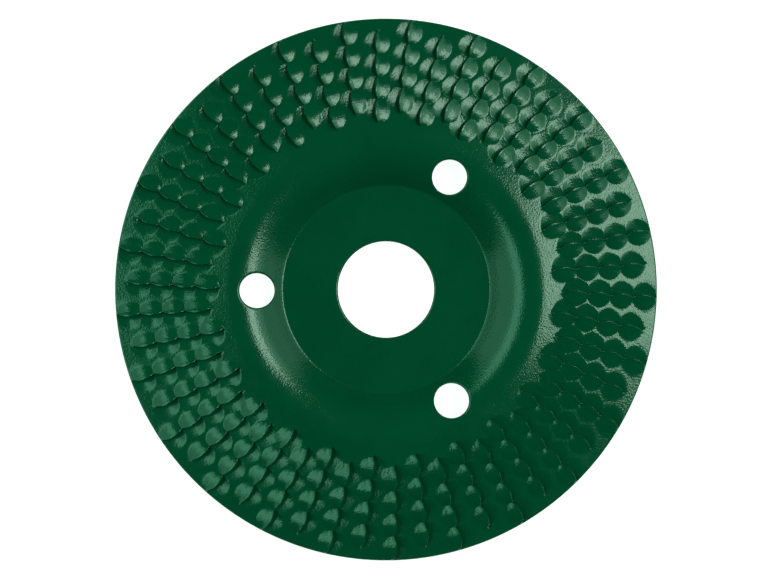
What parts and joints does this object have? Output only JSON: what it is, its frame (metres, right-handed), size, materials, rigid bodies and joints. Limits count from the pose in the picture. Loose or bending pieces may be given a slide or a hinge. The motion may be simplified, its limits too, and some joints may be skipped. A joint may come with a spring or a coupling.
{
  "type": "angle grinder carving disc",
  "caption": "Round pressed-steel rasp disc with a recessed flat hub, a central bore, round wall holes, a sloping toothed rim and a green powder coat.",
  "frame": {"origin": "on the bore's axis, at the back face of the hub, where the grinder's flange bears", "axes": "+Z along the bore's axis, out of the toothed working face; the disc is round, and +X lies between two rows of teeth"},
  "size_m": [0.125, 0.125, 0.008],
  "materials": {
    "steel": "bare pressed steel, satin",
    "powder_coat": "dark green powder coat, satin gloss with a fine orange peel"
  },
  "bodies": {
    "root": {"steel_disc": "steel", "powder_coat": "powder_coat"}
  },
  "joints": []
}
